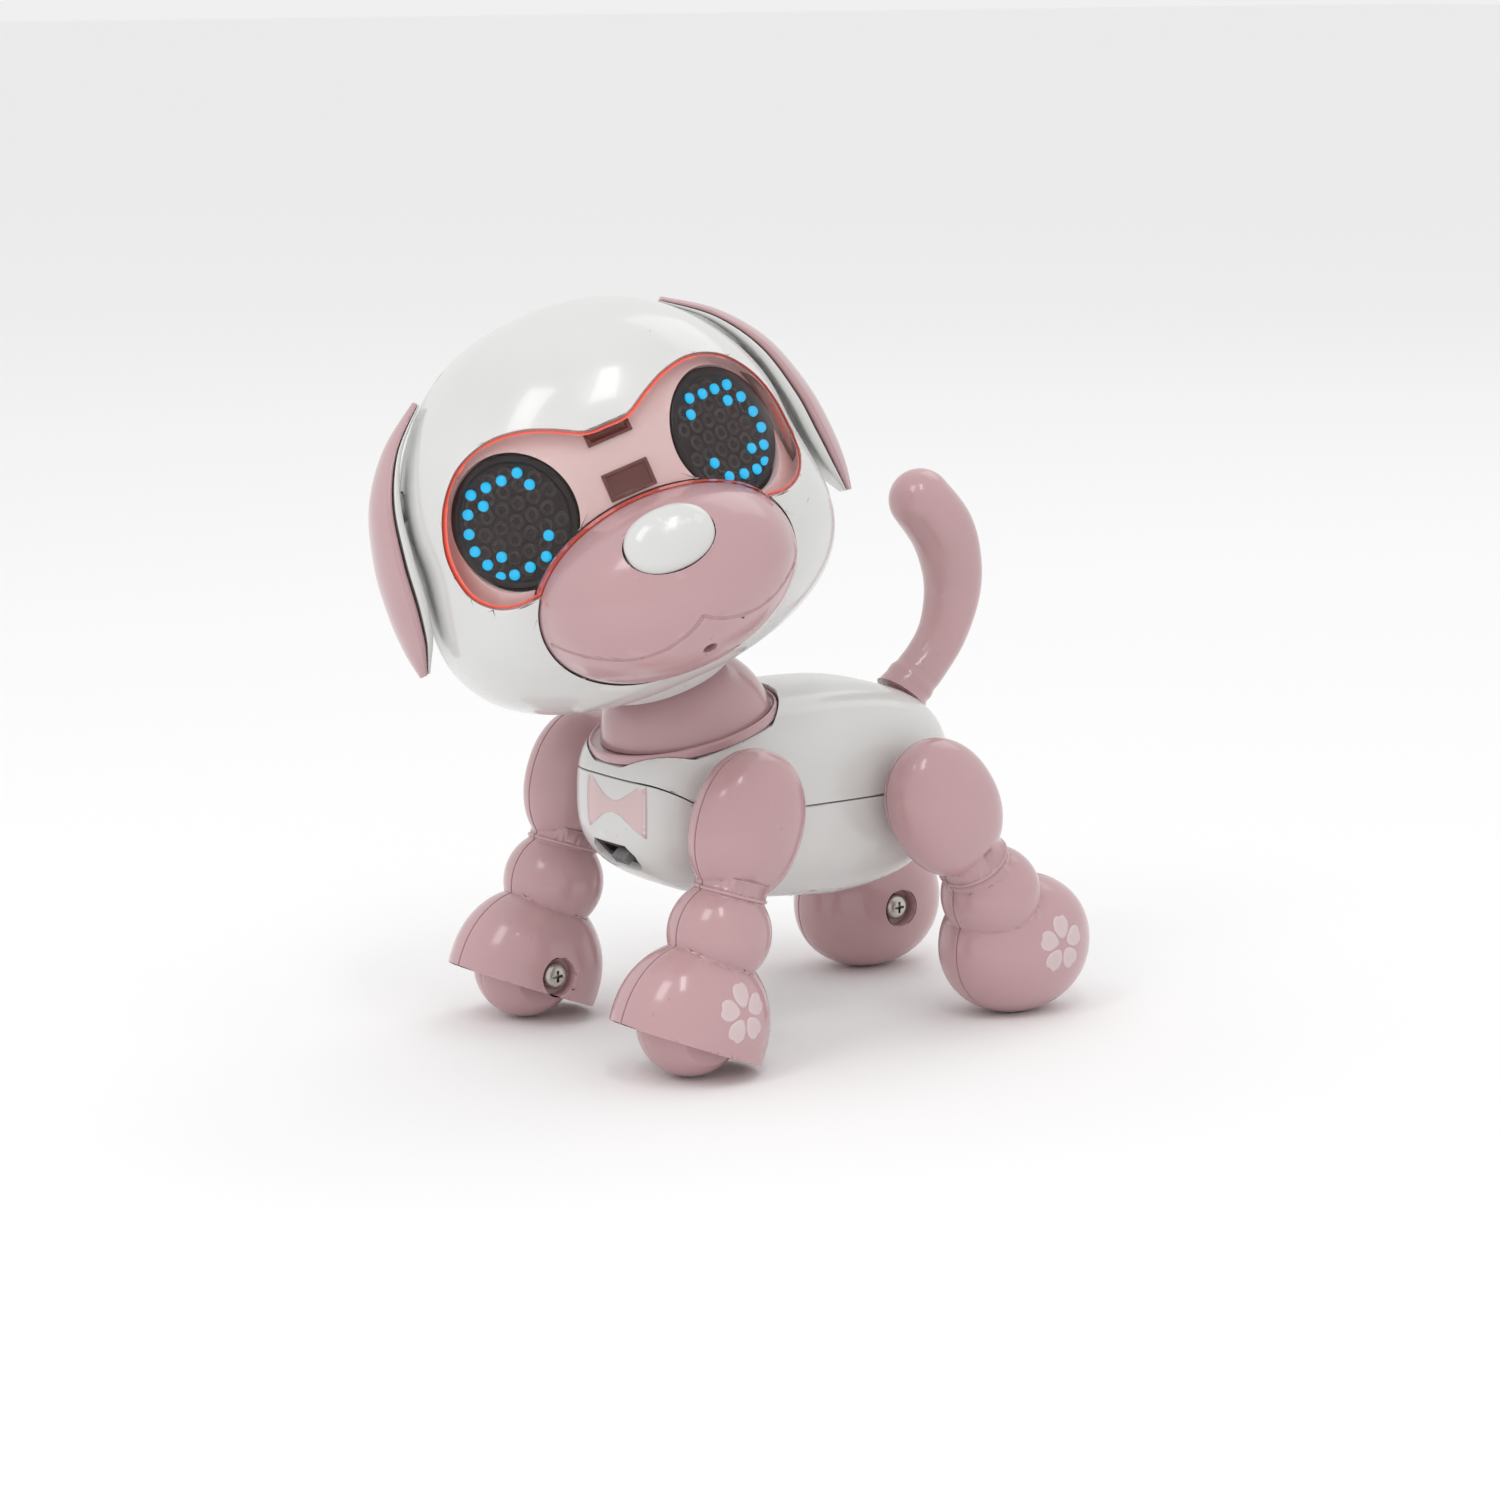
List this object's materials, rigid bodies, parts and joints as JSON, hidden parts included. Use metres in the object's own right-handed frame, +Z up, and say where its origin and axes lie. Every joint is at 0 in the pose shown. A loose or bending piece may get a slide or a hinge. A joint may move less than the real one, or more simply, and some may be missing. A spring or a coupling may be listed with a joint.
{
  "type": "robot dog toy",
  "caption": "Small robot puppy toy with a swivelling head, goggle eyes of LEDs, posable legs on roller paws, swinging ears, turning tail and a pressable nose.",
  "frame": {"origin": "middle of the footprint, on the floor the paws stand on", "axes": "+Z up, the body looks along -Y, +X is the puppy's left side"},
  "size_m": [0.0626, 0.0928, 0.096],
  "materials": {
    "white_gloss": "polished white",
    "pink_gloss": "polished dusty pink",
    "clear_pink": "clear pink-red plastic",
    "pale_pink": "pale pink",
    "black_plastic": "black",
    "grey_plastic": "dark grey",
    "board": "green circuit board",
    "contact_metal": "spring contact",
    "steel": "nickel plated"
  },
  "bodies": {
    "body": {"body_lower_shell": "white_gloss", "body_screw_1": "steel", "body_screw_2": "steel", "body_screw_3": "steel", "body_upper_shell": "white_gloss", "button_cell_1": "steel", "button_cell_2": "steel", "button_cell_3": "steel", "contact_minus": "contact_metal", "contact_plus": "contact_metal", "main_board": "board", "neck_base": "pink_gloss", "neck_dome": "pink_gloss", "neck_screw": "steel", "neck_washer": "steel", "speaker": "black_plastic", "switch_case": "black_plastic"},
    "head": {"chin_collar": "white_gloss", "eye_grille_left": "black_plastic", "eye_grille_right": "black_plastic", "eye_led_board_left": "board", "eye_led_board_right": "board", "face_plate": "pale_pink", "head_front_shell": "white_gloss", "head_rear_shell": "white_gloss", "head_screw_left": "steel", "head_screw_right": "steel", "microphone": "steel", "muzzle": "pink_gloss", "nose_board": "board", "nose_switch": "black_plastic", "visor": "clear_pink"},
    "ear_left": {"ear_cover_left": "pink_gloss", "ear_liner_left": "white_gloss"},
    "ear_right": {"ear_cover_right": "pink_gloss", "ear_liner_right": "white_gloss"},
    "nose_button": {"nose_button": "white_gloss"},
    "leg_front_left": {"front_left_leg_inner": "pink_gloss", "front_left_leg_outer": "pink_gloss", "front_left_leg_retainer": "steel", "front_left_leg_screw": "steel"},
    "leg_front_right": {"front_right_leg_inner": "pink_gloss", "front_right_leg_outer": "pink_gloss", "front_right_leg_retainer": "steel", "front_right_leg_screw": "steel"},
    "leg_rear_left": {"rear_left_leg_inner": "pink_gloss", "rear_left_leg_outer": "pink_gloss", "rear_left_leg_retainer": "steel", "rear_left_leg_screw": "steel"},
    "leg_rear_right": {"rear_right_leg_inner": "pink_gloss", "rear_right_leg_outer": "pink_gloss", "rear_right_leg_retainer": "steel", "rear_right_leg_screw": "steel"},
    "roller_left": {"front_left_roller": "pink_gloss"},
    "roller_right": {"front_right_roller": "pink_gloss"},
    "tail": {"tail": "pink_gloss", "tail_retainer": "steel"},
    "switch_knob": {"switch_knob": "grey_plastic"},
    "battery_door": {"battery_door": "white_gloss", "battery_door_screw": "steel"}
  },
  "joints": [
    {"name": "head_turn", "type": "hinge", "parent": "body", "child": "head", "pos_m": [-0.00384, -0.00628, 0.0409], "axis": [0, -0.3843, 0.9232], "range_deg": [-151, 9]},
    {"name": "ear_left_swing", "type": "hinge", "parent": "head", "child": "ear_left", "pos_m": [-0.00384, -0.01827, 0.0697], "axis": [0.1882, 0.7079, 0.6808], "range_deg": [-18, 18]},
    {"name": "ear_right_swing", "type": "hinge", "parent": "head", "child": "ear_right", "pos_m": [-0.00384, -0.01827, 0.0697], "axis": [-0.4063, -0.9137, 0.0058], "range_deg": [-18, 18]},
    {"name": "nose_press", "type": "slide", "parent": "head", "child": "nose_button", "axis": [-0.7673, 0.4651, -0.4415], "range_m": [0, 0.0008], "stiffness_N_per_m": 400},
    {"name": "front_left_leg_swing", "type": "hinge", "parent": "body", "child": "leg_front_left", "pos_m": [0.01506, -0.00978, 0.0307], "axis": [1, 0, 0], "range_deg": [-45, 25]},
    {"name": "rear_left_leg_swing", "type": "hinge", "parent": "body", "child": "leg_rear_left", "pos_m": [0.01476, 0.02162, 0.0292], "axis": [1, 0, 0], "range_deg": [-30, 40]},
    {"name": "roller_left_spin", "type": "hinge", "parent": "leg_front_left", "child": "roller_left", "pos_m": [0.01506, -0.01868, 0.0067], "axis": [1, 0, 0], "continuous": true},
    {"name": "front_right_leg_swing", "type": "hinge", "parent": "body", "child": "leg_front_right", "pos_m": [-0.02274, -0.00978, 0.0307], "axis": [1, 0, 0], "range_deg": [-45, 25]},
    {"name": "rear_right_leg_swing", "type": "hinge", "parent": "body", "child": "leg_rear_right", "pos_m": [-0.02244, 0.02162, 0.0292], "axis": [1, 0, 0], "range_deg": [-30, 40]},
    {"name": "roller_right_spin", "type": "hinge", "parent": "leg_front_right", "child": "roller_right", "pos_m": [-0.02274, -0.01868, 0.0067], "axis": [1, 0, 0], "continuous": true},
    {"name": "tail_turn", "type": "hinge", "parent": "body", "child": "tail", "pos_m": [-0.00384, 0.02892, 0.0406], "axis": [0, 0.6727, 0.7399], "range_deg": [-60, 60]},
    {"name": "power_switch_slide", "type": "slide", "parent": "body", "child": "switch_knob", "axis": [1, 0, 0], "range_m": [-0.0024, 0]},
    {"name": "battery_door_lift_off", "type": "slide", "parent": "body", "child": "battery_door", "axis": [0, 0, -1], "range_m": [0, 0.014]}
  ]
}
